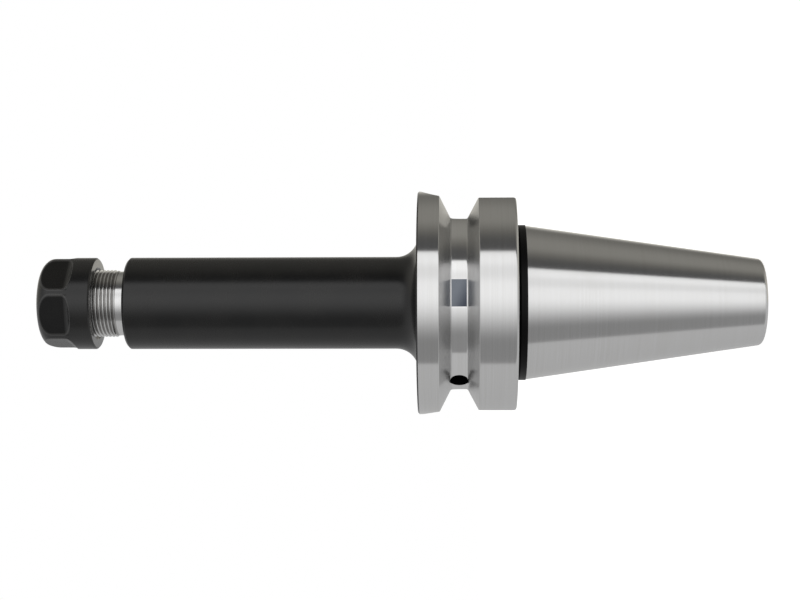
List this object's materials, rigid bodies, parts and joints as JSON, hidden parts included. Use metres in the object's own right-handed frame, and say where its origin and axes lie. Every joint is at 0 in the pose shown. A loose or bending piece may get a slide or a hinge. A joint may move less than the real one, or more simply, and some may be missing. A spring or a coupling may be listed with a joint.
{
  "type": "collet chuck holder",
  "caption": "Steep-taper spindle holder with a slim extension, a threaded nose, a slit spring collet and a hex clamping nut that grips small cutters.",
  "frame": {"origin": "centre of the taper's small end face, which the part stands on", "axes": "+Z along the spindle axis from the taper towards the nut; the two drive slots are at +X and -X"},
  "size_m": [0.046, 0.046, 0.1484],
  "materials": {
    "holder_steel": "hardened steel, ground bright on the taper and flange, black oxide on the extension, slots and faces",
    "collet_steel": "ground spring steel",
    "nut_black": "satin black oxide"
  },
  "bodies": {
    "holder": {"holder_body": "holder_steel"},
    "collet": {"spring_collet": "collet_steel"},
    "nut": {"clamping_nut": "nut_black"}
  },
  "joints": [
    {"name": "collet_travel", "type": "slide", "parent": "holder", "child": "collet", "axis": [0, 0, 1], "range_m": [0, 0.00526]},
    {"name": "nut_turn", "type": "hinge", "parent": "collet", "child": "nut", "pos_m": [0, 0, 0.142], "axis": [0, 0, 1], "range_deg": [0, 2520]}
  ],
  "couplings": [
    {"joint": "collet_travel", "follows": "nut_turn", "m_per_rad": 0.00011937}
  ]
}
